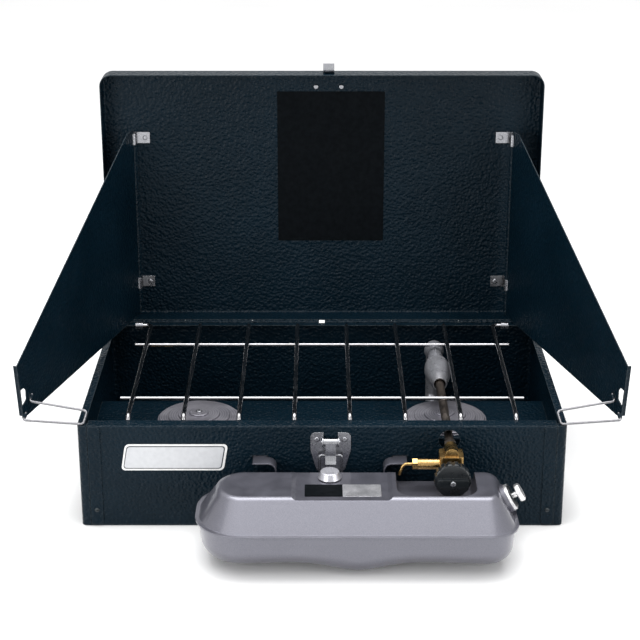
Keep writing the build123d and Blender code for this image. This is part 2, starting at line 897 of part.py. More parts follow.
def make_left_baffle(side):
    start = hinge_place(side)[2]
    outline = Polyline((start, baffle_bottom), (baffle_heel, baffle_bottom),
                       (baffle_length, baffle_tip_top),
                       (start + baffle_top_flat, baffle_top), (start, baffle_top), (start, baffle_bottom))
    face = make_face(outline)
    face = fillet(face.vertices().sort_by(Axis.Y)[-2:], baffle_top_radius)
    lean = (baffle_length - baffle_heel) / (baffle_tip_top - baffle_bottom)
    edge = baffle_heel + lean * (baffle_window_bottom - baffle_bottom) - baffle_window_rim
    inner = edge - baffle_window_width
    window = make_face(Polyline(
        (edge, baffle_window_bottom), (edge + lean * (baffle_window_top - baffle_window_bottom),
                                       baffle_window_top),
        (inner + baffle_window_corner, baffle_window_top), (inner,
                                                            baffle_window_top - baffle_window_corner),
        (inner, baffle_window_bottom + baffle_window_corner), (edge, baffle_window_bottom)))
    upright = Plane(origin=(0, sheet / 2, 0), x_dir=(1, 0, 0), z_dir=(0, -1, 0))
    plate = extrude(upright * (face - window), sheet)
    low = baffle_bottom + baffle_flange
    corner = make_face(Polyline((baffle_heel, low), (baffle_length, baffle_tip_top),
                                (baffle_length - sheet, baffle_tip_top), (baffle_heel - sheet, low),
                                (baffle_heel, low)))
    plate += extrude(Plane(origin=(0, 0, 0), x_dir=(1, 0, 0), z_dir=(0, -1, 0)) * corner,
                     sheet / 2 + baffle_flange)
    rod_line = hinge_rod_line(side)
    plate += rod(*rod_line, baffle_curl_radius)
    reach = baffle_curl_radius + baffle_rod_lift
    room = clip_height / 2 + clip_side_gap
    for z in clip_heights:
        plate -= block(start - reach, start + reach, -reach, reach, z - room, z + room)
    solid = baffle_plane() * (plate - rod((start, 0, 0), (start, 0, baffle_top + cut_over),
                                          baffle_rod_radius))
    for pin in stay_axis():
        eye = (pin_point(pin, stay_eye_start), pin_point(pin, stay_eye_start + stay_eye_length))
        bore = stay_wire_radius + running_gap
        solid += rod(*eye, bore + stay_eye_wall)
        solid -= rod(pin_point(pin, stay_eye_start - cut_over),
                     pin_point(pin, stay_eye_start + stay_eye_length + cut_over), bore)
    return solid


def hinge_rod_line(side):
    """The two ends of a baffle's hinge rod, in the plate's plane."""
    start = hinge_place(side)[2]
    return (start, 0, baffle_bottom + baffle_rod_lift), (start, 0, baffle_top - baffle_rod_short)


def make_hinge_rod(side):
    return baffle_plane() * rod(*hinge_rod_line(side), baffle_rod_radius)


def make_left_stay():
    (tip, hook) = stay_axis()
    rest_x = -half_width + stay_rest_inset
    rest_z = case_height + rest_gap + stay_wire_radius
    rest_front = front_y + stay_front_inset
    base = Vector(rest_x, rest_front, rest_z)
    rise = Vector(*pin_point(tip, stay_spread)) - Vector(*pin_point(tip, 0))
    points = [pin_point(tip, stay_pin), pin_point(tip, 0), base, base + rise, pin_point(hook, 0),
              pin_point(hook, stay_pin)]
    return wire(points, stay_wire_radius, [stay_pin_bend, stay_bend, stay_bend, stay_pin_bend])


def clip_rivet_points():
    points = []
    for side in (-1, 1):
        x, y, shift = hinge_place(side)
        points += [(x - side * (clip_foot - clip_rivet_inset), lid_face_y - clip_sheet,
                    z) for z in clip_heights]
    return points


def make_clips():
    clips = []
    radius = baffle_curl_radius + running_gap
    for side in (-1, 1):
        x, y, shift = hinge_place(side)
        for z in clip_heights:
            low = z - clip_height / 2
            high = z + clip_height / 2
            outer = sorted((x + side * radius, x - side * clip_foot))
            riser = sorted((x + side * radius, x + side * (radius - clip_sheet)))
            clip = block(*outer, lid_face_y - clip_sheet, lid_face_y, low, high)
            clip += block(*riser, y, lid_face_y, low, high)
            clip += rod((x, y, low), (x, y, high), radius)
            clip -= rod((x, y, low - cut_over), (x, y, high + cut_over), baffle_rod_radius + running_gap)
            clip -= rivet_hole((x - side * (clip_foot - clip_rivet_inset), lid_face_y, z), (0, 1, 0))
            clips.append(clip)
    return clips


# Fuel tank: two pressed shells with a seam flange

def tank_plan(grow, left=0.0, right=0.0, near=0.0, far=0.0):
    """Plan of the tank at one level, grown outward by grow and drawn in at its ends, front and back."""
    x0 = tank_left - grow + left
    x1 = tank_right + grow - right
    y0 = tank_front - grow + near
    y1 = tank_back + grow - far
    face = make_face(Polyline((x0, y0), (x1, y0), (x1, y1), (x0, y1), (x0, y0)))
    face = fillet(face.vertices().sort_by(Axis.X)[:2], tank_left_radius + grow - left)
    return fillet(face.vertices().sort_by(Axis.X)[-2:], tank_right_radius + grow - right)


def tank_right_inset():
    return (tank_top - tank_seam) * tan(radians(pump_angle))


def upper_form(grow):
    """The upper shell's solid form, grown outward by grow, with its well pressed in."""
    top = tank_top + grow
    base = Pos(0, 0, tank_seam) * tank_plan(grow)
    lid = Pos(0, 0, top) * tank_plan(grow, tank_left_inset, tank_right_inset(), tank_front_inset,
                                     tank_inset)
    form = loft([base, lid], ruled=True)
    form = fillet(form.edges().group_by(Axis.Z)[-1], tank_shoulder + grow)
    width = well_right - well_left - 2 * grow
    depth = well_back - well_front - 2 * grow
    plan = Pos((well_left + well_right) / 2, (well_front + well_back) / 2) * RectangleRounded(
        width, depth, well_radius - grow)
    well = Pos(0, 0, well_floor + grow) * extrude(plan, tank_top)
    well = fillet(well.edges().group_by(Axis.Z)[0], well_floor_radius - grow)
    return form - well - label_recess(grow)


def label_recess(grow):
    """The shallow pressed step across the tank's top that carries the labels and the filler."""
    left = recess_left + grow
    right = recess_right - grow
    low = recess_floor + grow
    high = tank_top + cut_over
    slope = recess_slope * (high - low) / recess_depth
    outline = make_face(Polyline((left, low), (right, low), (right + slope, high), (left - slope, high),
                                 (left, low)))
    plane = Plane(origin=(0, tank_back + cut_through, 0), x_dir=(1, 0, 0), z_dir=(0, -1, 0))
    return extrude(plane * outline, tank_depth + 2 * cut_through)


def flange_ring(z0, z1):
    ring = extrude(tank_plan(tank_flange), z1 - z0) - extrude(tank_plan(-sheet), z1 - z0)
    return Pos(0, 0, z0) * ring


def pump_point(distance):
    """A point on the pump's axis, distance outside the tank's right face."""
    angle = radians(pump_angle)
    foot = tank_right - (pump_height - tank_seam) * tan(angle)
    return foot + distance * cos(angle), pump_y, pump_height + distance * sin(angle)


def make_upper_shell():
    shell = upper_form(0) - upper_form(-sheet) + flange_ring(tank_seam,
                                                             tank_seam + tank_flange_thickness / 2)
    shell -= rod(pump_point(-pump_hole_depth), pump_point(pump_collar_length),
                 pump_bore_radius + pump_wall + running_gap)
    shell -= Pos(generator_x, valve_y, well_floor) * Cylinder(bung_shank_radius + running_gap, bung_shank)
    return shell - Pos(filler_x, filler_y, recess_floor) * Cylinder(filler_neck_radius - filler_wall,
                                                                    filler_hole_depth)


def lower_form(grow):
    """The lower shell's solid form: a drafted bowl whose floor dips in a keel that drains to the pickup."""
    ground = tank_floor - grow
    flank = ground - tank_keel_share * tank_keel_drop
    keel = ground - tank_keel_drop
    line = Spline((tank_left - cut_through, ground), (tank_keel_x - tank_keel_half, ground),
                  (tank_keel_x - tank_keel_flank, flank), (tank_keel_x - tank_keel_flat, keel),
                  (tank_keel_x + tank_keel_flat, keel), (tank_keel_x + tank_keel_flank, flank),
                  (tank_keel_x + tank_keel_half, ground), (tank_right + cut_through, ground))
    roof = Polyline(line @ 1, (tank_right + cut_through, tank_seam), (tank_left - cut_through, tank_seam),
                    line @ 0)
    plane = Plane(origin=(0, tank_back + cut_through, 0), x_dir=(1, 0, 0), z_dir=(0, -1, 0))
    room = extrude(plane * make_face(Curve() + line + roof), tank_depth + 2 * cut_through)
    bowl = Pos(0, 0, tank_seam) * extrude(tank_plan(grow), tank_seam - keel + cut_over, dir=(0, 0, -1),
                                          taper=tank_draft)
    bowl &= room
    return fillet(bowl.faces().sort_by(Axis.Z)[0].edges(), tank_floor_round + grow)


def make_lower_shell():
    shell = lower_form(0) - lower_form(-sheet)
    return shell + flange_ring(tank_seam - tank_flange_thickness / 2, tank_seam)


def make_strap(x):
    """Hanger: a strip on the tank's back slope turns outward, its tongue through a slot."""
    outward = 1 if x > 0 else -1
    leg = x - outward * strap_leg
    level = strap_height - strap_sheet / 2
    near = front_y - strap_standoff
    line = FilletPolyline((leg, strap_foot), (leg, level), (x + outward * strap_width / 2, level),
                          radius=strap_bend)
    plane = Plane(origin=(0, near, 0), x_dir=(1, 0, 0), z_dir=(0, -1, 0))
    band = extrude(plane * trace(line, strap_sheet), strap_depth)
    tongue = block(x - strap_width / 2, x + strap_width / 2, near, front_y + strap_reach,
                   strap_height - strap_sheet, strap_height)
    return band + tongue - upper_form(0)


# Valve, generator, lighting lever and control knob

def make_bung():
    collar = hexagon((generator_x, valve_y, well_floor), (generator_x, valve_y, valve_bottom), bung_radius)
    shank = rod((generator_x, valve_y, well_floor - bung_shank), (generator_x, valve_y, well_floor),
                bung_shank_radius)
    return collar + shank


def make_pickup():
    top = well_floor - bung_shank
    return rod((generator_x, valve_y, top), (generator_x, valve_y, top - pickup_length + bung_shank),
               pickup_radius)


def make_valve_body():
    half = valve_width / 2
    deep = valve_depth / 2
    body = block(generator_x - half, generator_x + half, valve_y - deep, valve_y + deep, valve_bottom,
                 valve_top)
    body = fillet(body.edges().filter_by(Axis.Z), valve_edge)
    body += rod((generator_x, valve_front + valve_boss_inset, generator_z),
                (generator_x, generator_start, generator_z),
                valve_boss_radius)
    neck = valve_front - valve_neck
    body += rod((generator_x, neck, stem_z), (generator_x, valve_y, stem_z), stem_radius + valve_neck_wall)
    body += rod((gland_end(), valve_y, gland_z), (generator_x, valve_y, gland_z), gland_radius)
    body -= rod((generator_x, neck - cut_over, stem_z), (generator_x, valve_y - stem_bore, stem_z),
                stem_radius + running_gap)
    return body - rod((gland_end() - cut_over, valve_y, gland_z), (generator_x - half, valve_y, gland_z),
                      lever_radius + running_gap)


def gland_end():
    return generator_x - valve_width / 2 - gland_length


def make_packing_nut():
    end = gland_end() - packing_nut_length
    nut = hexagon((gland_end(), valve_y, gland_z), (end, valve_y, gland_z), packing_nut_radius)
    return nut - rod((end - cut_over, valve_y, gland_z), (gland_end() + cut_over, valve_y, gland_z),
                     lever_radius + running_gap)


def make_lighting_lever():
    out = gland_end() - packing_nut_length - lever_out
    return wire([(generator_x - valve_width / 2 - lever_tail, valve_y, gland_z), (out, valve_y, gland_z),
                 (out - lever_splay, valve_y, gland_z - lever_drop)], lever_radius, lever_bend)


def make_generator_nut():
    step = generator_start + generator_nut_hex
    nut = hexagon((generator_x, generator_start, generator_z), (generator_x, step, generator_z),
                  generator_nut_radius)
    cone = along((generator_x, step, generator_z), (generator_x, 0, generator_z)) * Cone(
        generator_nut_neck, generator_radius + generator_nut_lip, generator_nut_length - generator_nut_hex,
        align=(Align.CENTER, Align.CENTER, Align.MIN))
    return nut + cone - rod((generator_x, generator_start - cut_over, generator_z),
                            (generator_x, 0, generator_z),
                            generator_radius)


def make_generator():
    end = chamber_mouth + generator_jet_reach
    tube = rod((generator_x, generator_start, generator_z), (generator_x, end, generator_z),
               generator_radius)
    jet = along((generator_x, end, generator_z),
                (generator_x, end + generator_jet_length, generator_z)) * Cone(
        generator_jet_radius, generator_jet_tip, generator_jet_length, align=(Align.CENTER, Align.CENTER,
                                                                              Align.MIN))
    return tube + jet


def make_valve_stem():
    return rod((generator_x, valve_y - stem_tail, stem_z), (generator_x, knob_front, stem_z), stem_radius)


def make_knob():
    knob = rod((generator_x, knob_rear, stem_z), (generator_x, knob_front, stem_z), knob_radius)
    knob = fillet(knob.edges().sort_by(Axis.Y)[0], knob_edge)
    for i in range(knob_scallops):
        angle = radians(360 * i / knob_scallops)
        x = generator_x + (knob_radius + knob_scallop_out) * cos(angle)
        z = stem_z + (knob_radius + knob_scallop_out) * sin(angle)
        knob -= rod((x, knob_rear + cut_over, z), (x, knob_front - cut_over, z), knob_scallop_radius)
    grip = block(generator_x - knob_skirt_radius, generator_x + knob_skirt_radius, knob_face, knob_front,
                 stem_z - knob_grip_width / 2, stem_z + knob_grip_width / 2)
    knob += fillet(grip.edges().filter_by(Axis.Y), knob_grip_edge)
    knob -= rod((generator_x, knob_rear + cut_over, stem_z), (generator_x, knob_front, stem_z), stem_radius)
    return knob - rod((generator_x, knob_front + cut_over, stem_z),
                      (generator_x, knob_face - cut_over, stem_z),
                      rivet_shank_radius + running_gap)


def make_knob_screw():
    screw = rivet((generator_x, knob_face, stem_z), (0, -1, 0), knob_grip_height - screw_tip_gap,
                  knob_screw_radius)
    return screw - block(generator_x - knob_screw_radius, generator_x + knob_screw_radius,
                         knob_face - rivet_head_height, knob_face - rivet_head_height / 2,
                         stem_z - screw_slot / 2, stem_z + screw_slot / 2)


# Pump at the tank's right end

def pump_cap_face():
    return pump_collar_length + pump_cap_thickness


def pump_clip_face():
    return pump_cap_face() + pump_clip_thickness


def pump_knob_face():
    return pump_clip_face() + pump_knob_gap


def make_pump_barrel():
    outer = pump_bore_radius + pump_wall
    barrel = rod(pump_point(-pump_length), pump_point(pump_collar_length), outer)
    return barrel - rod(pump_point(pump_end_wall - pump_length), pump_point(pump_collar_length + cut_over),
                        pump_bore_radius)


def make_pump_collar():
    return pipe(pump_point(0), pump_point(pump_collar_length), pump_collar_radius,
                pump_bore_radius + pump_wall)


def make_pump_cap():
    cap = rod(pump_point(pump_collar_length), pump_point(pump_cap_face()),
              pump_collar_radius - pump_cap_inset)
    return cap - rod(pump_point(0), pump_point(pump_cap_face() + cut_over), pump_rod_radius + running_gap)


def make_pump_clip():
    clip = rod(pump_point(pump_cap_face()), pump_point(pump_clip_face()),
               pump_collar_radius - pump_clip_inset)
    return clip - rod(pump_point(0), pump_point(pump_clip_face() + cut_over), pump_rod_radius + running_gap)


def make_plunger_rod():
    start = pump_cup_start + pump_cup_length - pump_length
    return rod(pump_point(start), pump_point(pump_knob_face()), pump_rod_radius)


def make_pump_cup():
    start = pump_cup_start - pump_length
    end = start + pump_cup_length
    cup = rod(pump_point(start), pump_point(end), pump_bore_radius - running_gap)
    return cup - rod(pump_point(start - cut_over), pump_point(end - pump_cup_floor),
                     pump_bore_radius - pump_cup_wall)


def make_pump_knob():
    face = pump_knob_face()
    knob = rod(pump_point(face), pump_point(face + pump_knob_thickness), pump_knob_radius)
    return fillet(knob.edges().filter_by(GeomType.CIRCLE), pump_knob_edge)


# Filler

def make_filler_neck():
    low = (filler_x, filler_y, recess_floor)
    high = (filler_x, filler_y, recess_floor + filler_neck_height)
    return pipe(low, high, filler_neck_radius, filler_neck_radius - filler_wall)


def gasket_level():
    return recess_floor + filler_neck_height + rest_gap


def make_gasket():
    z = gasket_level()
    return pipe((filler_x, filler_y, z), (filler_x, filler_y, z + gasket_thickness), filler_neck_radius,
                gasket_bore_radius)


def make_filler_cap():
    low = recess_floor + filler_cap_lift
    high = gasket_level() + gasket_thickness + filler_cap_roof
    cap = Pos(filler_x, filler_y, low) * Cone(filler_cap_radius, filler_cap_top_radius, high - low,
                                              align=(Align.CENTER, Align.CENTER, Align.MIN))
    cap = fillet(cap.edges().sort_by(Axis.Z)[-1], filler_cap_edge)
    inside = rod((filler_x, filler_y, low - cut_over),
                 (filler_x, filler_y, gasket_level() + gasket_thickness),
                 filler_neck_radius + rest_gap)
    return cap - inside


def main():
    os.makedirs("parts", exist_ok=True)
    save("case_shell", make_case_shell())
    save("front_panel", make_front_panel())
    save("corner_strips", *pair(make_corner_strip()))
    save("strip_screws", *[make_strip_screw(point) for point in strip_screw_points()])
    save("burner_support", make_burner_support())
    save("burner_bowls", make_bowl(burner_x, generator_x), make_bowl(-burner_x, aux_inlet_x))
    save("burner_rings", *make_rings(burner_x), *make_rings(-burner_x))
    save("burner_caps", make_burner_cap(burner_x), make_burner_cap(-burner_x))
    save("burner_screws", make_burner_screw(burner_x), make_burner_screw(-burner_x))
    save("manifold", make_manifold())
    save("crossover_tube", make_crossover(generator_x))
    save("aux_valve_body", make_aux_valve_body())
    save("aux_feed_tube", make_aux_feed())
    save("aux_valve_stem", make_aux_stem())
    save("grate_bars", *[make_bar(x) for x in bar_places()])
    save("grate_rods", *[make_cross_rod(y) for y in cross_rod_places])
    save("grate_clips", *pair(make_grate_clip()))
    save("latch_plate", make_latch_plate())
    save("latch_rivets", *[rivet(p, (0, -1, 0), latch_sheet + sheet) for p in latch_rivet_points()])
    save("latch_pin", make_latch_pin())
    save("latch_lever", make_latch_lever())
    save("latch_loop", make_latch_loop())
    hinges = [hinge_leaf_pair(x) for x in (-hinge_x, hinge_x)]
    save("hinge_case_leaves", *[hinge[0] for hinge in hinges])
    save("hinge_lid_leaves", *[hinge[1] for hinge in hinges])
    save("hinge_pins", *[hinge[2] for hinge in hinges])
    save("lid_shell", make_lid_shell())
    save("lid_hasp", make_hasp())
    save("hasp_rivets", *[rivet(p, (0, -1, 0), sheet + hasp_sheet) for p in hasp_rivet_points()])
    save("baffle_clips", *make_clips())
    save("clip_rivets", *[rivet(p, (0, -1, 0), clip_sheet + sheet) for p in clip_rivet_points()])
    save("left_baffle", make_left_baffle(-1))
    save("right_baffle", mirror(make_left_baffle(1), about=Plane.YZ))
    save("left_hinge_rod", make_hinge_rod(-1))
    save("right_hinge_rod", mirror(make_hinge_rod(1), about=Plane.YZ))
    save("left_stay", make_left_stay())
    save("right_stay", mirror(make_left_stay(), about=Plane.YZ))
    save("tank_upper_shell", make_upper_shell())
    save("tank_lower_shell", make_lower_shell())
    save("tank_straps", *[make_strap(x) for x in strap_x])
    save("valve_bung", make_bung())
    save("fuel_pickup", make_pickup())
    save("valve_body", make_valve_body())
    save("packing_nut", make_packing_nut())
    save("lighting_lever", make_lighting_lever())
    save("generator_nut", make_generator_nut())
    save("generator_tube", make_generator())
    save("valve_stem", make_valve_stem())
    save("control_knob", make_knob())
    save("knob_screw", make_knob_screw())
    save("pump_barrel", make_pump_barrel())
    save("pump_collar", make_pump_collar())
    save("pump_cap", make_pump_cap())
    save("pump_clip", make_pump_clip())
    save("plunger_rod", make_plunger_rod())
    save("pump_cup", make_pump_cup())
    save("pump_knob", make_pump_knob())
    save("filler_neck", make_filler_neck())
    save("filler_cap", make_filler_cap())
    save("cap_gasket", make_gasket())


main()
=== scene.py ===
import bpy
import json
import math
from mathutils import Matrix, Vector


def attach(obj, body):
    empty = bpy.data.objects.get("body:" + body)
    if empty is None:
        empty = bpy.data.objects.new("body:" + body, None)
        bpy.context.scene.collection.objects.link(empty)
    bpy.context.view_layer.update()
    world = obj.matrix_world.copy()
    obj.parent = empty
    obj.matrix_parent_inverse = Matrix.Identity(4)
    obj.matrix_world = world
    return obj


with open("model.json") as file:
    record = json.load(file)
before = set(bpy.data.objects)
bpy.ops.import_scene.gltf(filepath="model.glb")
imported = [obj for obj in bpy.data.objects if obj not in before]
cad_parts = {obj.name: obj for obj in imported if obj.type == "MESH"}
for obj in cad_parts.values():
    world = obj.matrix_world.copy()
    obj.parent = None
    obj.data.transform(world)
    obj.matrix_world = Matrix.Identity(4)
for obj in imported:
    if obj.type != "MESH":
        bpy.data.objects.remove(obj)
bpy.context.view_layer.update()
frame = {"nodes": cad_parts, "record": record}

# Colours are linear, lengths are metres, +X right, +Y back, +Z up

SLOT_NODES = {}
for row in frame["record"]["subparts"]:
    SLOT_NODES.setdefault(row["material_slot"], []).append(row["node"])


# Shared shader settings
CELL_SMOOTHNESS = 0.6
NOISE_LOW = 0.3
NOISE_HIGH = 0.7
EDGE_GAIN = 6.0
EDGE_SAMPLES = 6
ROUND_SAMPLES = 4
COAT_ROUGHNESS = 0.12


class Tree:
    """One material's node tree, with its principled shader."""

    def __init__(self, name):
        self.material = bpy.data.materials.new(name)
        self.material.use_nodes = True
        self.nodes = self.material.node_tree.nodes
        self.links = self.material.node_tree.links
        self.shader = self.nodes["Principled BSDF"]
        self.place = self.nodes.new("ShaderNodeTexCoord").outputs["Object"]

    def noise(self, scale, detail=3.0, rough=0.55, stretch=None):
        node = self.nodes.new("ShaderNodeTexNoise")
        node.inputs["Scale"].default_value = scale
        node.inputs["Detail"].default_value = detail
        node.inputs["Roughness"].default_value = rough
        source = self.place
        if stretch:
            mapping = self.nodes.new("ShaderNodeMapping")
            mapping.inputs["Scale"].default_value = stretch
            self.links.new(source, mapping.inputs["Vector"])
            source = mapping.outputs["Vector"]
        self.links.new(source, node.inputs["Vector"])
        return node.outputs["Fac"]

    def cells(self, scale):
        node = self.nodes.new("ShaderNodeTexVoronoi")
        node.feature = "SMOOTH_F1"
        node.inputs["Scale"].default_value = scale
        node.inputs["Smoothness"].default_value = CELL_SMOOTHNESS
        self.links.new(self.place, node.inputs["Vector"])
        return node.outputs["Distance"]

    def math(self, operation, a, b=None):
        node = self.nodes.new("ShaderNodeMath")
        node.operation = operation
        for i, value in enumerate((a, b)):
            if value is None:
                continue
            if isinstance(value, (int, float)):
                node.inputs[i].default_value = value
            else:
                self.links.new(value, node.inputs[i])
        return node.outputs["Value"]

    def ramp(self, fac, low, high, low_at=0.35, high_at=0.65):
        node = self.nodes.new("ShaderNodeValToRGB")
        node.color_ramp.elements[0].position = low_at
        node.color_ramp.elements[1].position = high_at
        node.color_ramp.elements[0].color = (*low, 1.0)
        node.color_ramp.elements[1].color = (*high, 1.0)
        self.links.new(fac, node.inputs["Fac"])
        return node.outputs["Color"]

    def span(self, fac, low, high):
        """Spread a noise value over low to high."""
        node = self.nodes.new("ShaderNodeMapRange")
        node.inputs["From Min"].default_value = NOISE_LOW
        node.inputs["From Max"].default_value = NOISE_HIGH
        node.inputs["To Min"].default_value = low
        node.inputs["To Max"].default_value = high
        self.links.new(fac, node.inputs["Value"])
        return node.outputs["Result"]

    def mix(self, fac, a, b):
        """Blend from a to b, each a colour or a socket."""
        node = self.nodes.new("ShaderNodeMix")
        node.data_type = "RGBA"
        if isinstance(fac, (int, float)):
            node.inputs["Factor"].default_value = fac
        else:
            self.links.new(fac, node.inputs["Factor"])
        for name, value in (("A", a), ("B", b)):
            socket = [s for s in node.inputs if s.name == name and s.type == "RGBA"][0]
            if isinstance(value, tuple):
                socket.default_value = (*value, 1.0)
            else:
                self.links.new(value, socket)
        return [s for s in node.outputs if s.type == "RGBA"][0]

    # Edge mask, used for a pale edge colour that is partly wear and partly a painted highlight
    def worn_and_highlit_edge(self, width):
        """Near 1 where the surface turns within width, 0 on flat ground."""
        bevel = self.nodes.new("ShaderNodeBevel")
        bevel.samples = EDGE_SAMPLES
        bevel.inputs["Radius"].default_value = width
        geometry = self.nodes.new("ShaderNodeNewGeometry")
        dot = self.nodes.new("ShaderNodeVectorMath")
        dot.operation = "DOT_PRODUCT"
        self.links.new(bevel.outputs["Normal"], dot.inputs[0])
        self.links.new(geometry.outputs["Normal"], dot.inputs[1])
        turned = self.math("SUBTRACT", 1.0, dot.outputs["Value"])
        return self.math("MINIMUM", self.math("MULTIPLY", turned, EDGE_GAIN), 1.0)

    def finish(self, color, rough, metallic, height=None, strength=0.0, depth=0.0004, round_edge=0.0005,
               coat=0.0, specular=0.5):
        self.links.new(color, self.shader.inputs["Base Color"])
        self.links.new(rough, self.shader.inputs["Roughness"])
        self.shader.inputs["Metallic"].default_value = metallic
        self.shader.inputs["Coat Weight"].default_value = coat
        self.shader.inputs["Coat Roughness"].default_value = COAT_ROUGHNESS
        self.shader.inputs["Specular IOR Level"].default_value = specular
        bevel = self.nodes.new("ShaderNodeBevel")
        bevel.samples = ROUND_SAMPLES
        bevel.inputs["Radius"].default_value = round_edge
        normal = bevel.outputs["Normal"]
        if height is not None:
            bump = self.nodes.new("ShaderNodeBump")
            bump.inputs["Strength"].default_value = strength
            bump.inputs["Distance"].default_value = depth
            self.links.new(height, bump.inputs["Height"])
            self.links.new(normal, bump.inputs["Normal"])
            normal = bump.outputs["Normal"]
        self.links.new(normal, self.shader.inputs["Normal"])
        return self.material


def green_paint():
    """Dark blue-green enamel with a fine hammered wrinkle, and a pale speckle on its edges that is partly
    wear and partly a painted highlight.
    """
    t = Tree("green_paint")
    hammer = t.math("MULTIPLY", t.cells(330), 0.9)
    wrinkle = t.math("ADD", hammer, t.math("MULTIPLY", t.noise(520, 2.0), 0.5))
    tone = t.ramp(t.noise(9, 4.0), (0.0006, 0.0060, 0.0112), (0.0020, 0.0096, 0.0170))
    speckle = t.span(t.noise(420, 2.0), 0.15, 0.75)
    # Pale speckled colour along the edges: partly a trace of wear, partly a painted highlight on the
    # rounded rims
    tone = t.mix(t.math("MULTIPLY", t.worn_and_highlit_edge(0.0011), speckle), tone, (0.090, 0.108, 0.118))
    rough = t.span(t.noise(260, 3.0), 0.28, 0.42)
    return t.finish(tone, rough, 0.0, wrinkle, strength=1.0, depth=0.0012, round_edge=0.0007,
                    specular=0.11)


def tank_silver():
    """Satin metallic paint with a fine flake and a few soft smudges."""
    t = Tree("tank_silver")
    flake = t.noise(1900, 2.0)
    tone = t.ramp(flake, (0.106, 0.106, 0.130), (0.154, 0.154, 0.184))
    tone = t.mix(t.math("MULTIPLY", t.noise(16, 4.0), 0.30), tone, (0.094, 0.094, 0.116))
    rough = t.span(t.noise(60, 4.0), 0.32, 0.46)
    return t.finish(tone, rough, 0.70, flake, strength=0.05, depth=0.0002, round_edge=0.0012, coat=0.80)


# Middles of the two burners, and radians of ring pattern per metre
BURNER_X = 0.125
BURNER_Y = -0.007
RING_WAVE = 2600.0


def burner_steel():
    """Pressed burner plates: dull steel with rings round each burner's middle and heat stains."""
    t = Tree("burner_steel")
    part = t.nodes.new("ShaderNodeSeparateXYZ")
    t.links.new(t.place, part.inputs["Vector"])
    across = t.math("SUBTRACT", t.math("ABSOLUTE", part.outputs["X"]), BURNER_X)
    deep = t.math("SUBTRACT", part.outputs["Y"], BURNER_Y)
    squares = t.math("ADD", t.math("MULTIPLY", across, across), t.math("MULTIPLY", deep, deep))
    rings = t.math("SINE", t.math("MULTIPLY", t.math("SQRT", squares), RING_WAVE))
    rings = t.math("ADD", t.math("MULTIPLY", rings, 0.25), 0.5)
    stain = t.noise(45, 5.0)
    tone = t.ramp(t.math("ADD", t.math("MULTIPLY", rings, 0.45), t.math("MULTIPLY", stain, 0.55)),
                  (0.19, 0.188, 0.220), (0.36, 0.357, 0.405))
    tone = t.mix(t.span(t.noise(22, 4.0), 0.0, 0.28), tone, (0.16, 0.140, 0.13))
    return t.finish(tone, t.span(stain, 0.28, 0.44), 0.62, rings, strength=0.45, depth=0.0004)


def brushed(name, low, high, rough, metallic=1.0, grain=900, tint=None, stretch=None, strength=0.06):
    """Metal with a fine grain, faint stains and an optional tint in patches."""
    t = Tree(name)
    fine = t.noise(grain, 3.0, stretch=stretch)
    tone = t.ramp(fine, low, high)
    if tint:
        tone = t.mix(t.span(t.noise(38, 4.0), 0.0, 0.55), tone, tint)
    polish = t.span(t.noise(110, 4.0), rough - 0.06, rough + 0.10)
    return t.finish(tone, polish, metallic, fine, strength=strength, depth=0.0002)


def plastic(name, low, high, rough, specular=0.45):
    """Moulded plastic or rubber with a fine grain."""
    t = Tree(name)
    grain = t.noise(1400, 2.0)
    tone = t.ramp(t.noise(60, 3.0), low, high)
    polish = t.span(t.noise(240, 3.0), rough - 0.05, rough + 0.07)
    return t.finish(tone, polish, 0.0, grain, strength=0.10, depth=0.0002, round_edge=0.0006,
                    specular=specular)


def printed(name, low, high, rough, specular=0.5):
    """A blank label or badge face with a faint print grain."""
    t = Tree(name)
    tone = t.ramp(t.noise(240, 4.0), low, high)
    polish = t.span(t.noise(90, 3.0), rough - 0.06, rough + 0.06)
    return t.finish(tone, polish, 0.0, t.noise(900, 2.0), strength=0.04, depth=0.0001, round_edge=0.0002,
                    specular=specular)


MATERIALS = {
    "green_paint": green_paint(),
    "tank_silver": tank_silver(),
    "burner_steel": burner_steel(),
    "dark_screw": brushed("dark_screw", (0.012, 0.018, 0.022), (0.03, 0.038, 0.042), 0.38, 0.3),
    "zinc_steel": brushed("zinc_steel", (0.27, 0.275, 0.295), (0.36, 0.365, 0.385), 0.26, 1.0, 900),
    "stay_wire": brushed("stay_wire", (0.15, 0.15, 0.16), (0.24, 0.24, 0.25), 0.30, 1.0, 700),
    "manifold_steel": brushed("manifold_steel", (0.36, 0.37, 0.405), (0.50, 0.51, 0.555), 0.30, 0.72,
                              600, (0.25, 0.24, 0.24)),
    "grate_chrome": brushed("grate_chrome", (0.34, 0.34, 0.36), (0.46, 0.46, 0.48), 0.16, 1.0, 500,
                            (0.26, 0.25, 0.24)),
    "pump_bright": brushed("pump_bright", (0.62, 0.62, 0.63), (0.80, 0.80, 0.80), 0.30, 0.9, 900),
    "brass": brushed("brass", (0.40, 0.245, 0.085), (0.60, 0.40, 0.16), 0.26, 1.0,
                     520, (0.30, 0.19, 0.08)),
    "generator_steel": brushed("generator_steel", (0.13, 0.115, 0.10), (0.25, 0.22, 0.20), 0.34, 0.95,
                               700, (0.16, 0.11, 0.08)),
    "black_plastic": plastic("black_plastic", (0.0055, 0.0075, 0.0092), (0.0098, 0.0125, 0.0148), 0.30),
    "cap_metal": brushed("cap_metal", (0.40, 0.40, 0.44), (0.56, 0.56, 0.60), 0.30, 0.7, 1200),
    "gasket_rubber": plastic("gasket_rubber", (0.010, 0.010, 0.010), (0.020, 0.020, 0.020), 0.6, 0.3),
}

# The lid hinge is painted over with the case
PAINTED_OVER = {"hinge_case_leaves", "hinge_lid_leaves", "hinge_pins"}

for slot_name, nodes in SLOT_NODES.items():
    for node in nodes:
        look = "green_paint" if node in PAINTED_OVER else slot_name
        for slot in frame["nodes"][node].material_slots:
            slot.material = MATERIALS[look]


# Bare plates for the badge and the labels

